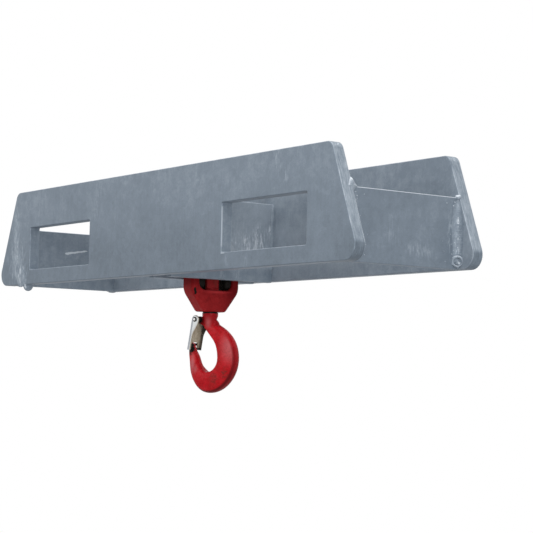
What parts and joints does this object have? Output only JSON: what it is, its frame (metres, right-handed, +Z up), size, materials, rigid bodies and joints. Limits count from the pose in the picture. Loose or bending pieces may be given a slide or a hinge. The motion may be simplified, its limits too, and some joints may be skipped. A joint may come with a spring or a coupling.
{
  "type": "forklift hook attachment",
  "caption": "Galvanised welded carrier with trapezoid side plates and fork pockets that slides onto forklift tines; a red forged swivel hook with safety latch hangs under its middle.",
  "frame": {"origin": "middle of the carrier, in the plane of the window tops that rest on the forks' upper faces", "axes": "+X along the carrier, to the right in the picture; +Y towards the truck; +Z up"},
  "size_m": [0.8834, 0.198, 0.2993],
  "materials": {
    "galvanised_steel": "hot-dip galvanised, matt spangle",
    "weld_metal": "galvanised weld bead",
    "pin_steel": "zinc plated, matt",
    "red_paint": "red enamel over forged steel",
    "bright_zinc": "bright zinc plated sheet",
    "spring_steel": "oiled spring steel"
  },
  "bodies": {
    "carrier": {"front_plate": "galvanised_steel", "rear_plate": "galvanised_steel", "left_end_plate": "galvanised_steel", "right_end_plate": "galvanised_steel", "left_hanger_plate": "galvanised_steel", "right_hanger_plate": "galvanised_steel", "left_end_welds": "weld_metal", "right_end_welds": "weld_metal", "left_hanger_welds": "weld_metal", "right_hanger_welds": "weld_metal", "hanger_pin": "pin_steel", "pin_washer": "pin_steel", "split_pin": "pin_steel"},
    "bail": {"swivel_bail": "red_paint", "thrust_washer": "red_paint"},
    "hook": {"hook": "red_paint", "shank_nut": "red_paint", "nut_lock_pin": "spring_steel", "latch_rivet": "bright_zinc", "latch_spring": "spring_steel"},
    "latch": {"latch": "bright_zinc"}
  },
  "joints": [
    {"name": "bail_swing", "type": "hinge", "parent": "carrier", "child": "bail", "pos_m": [0, 0, -0.05], "axis": [1, 0, 0], "range_deg": [-45, 45]},
    {"name": "hook_swivel", "type": "hinge", "parent": "bail", "child": "hook", "pos_m": [0, 0, -0.132], "axis": [0, 0, 1], "continuous": true},
    {"name": "latch_pivot", "type": "hinge", "parent": "hook", "child": "latch", "pos_m": [-0.01457, -0.0053, -0.1425], "axis": [0.342, -0.9397, 0], "range_deg": [0, 50], "stiffness_Nm_per_rad": 0.2, "springref_deg": -20.05, "deforming": ["latch_spring"]}
  ]
}
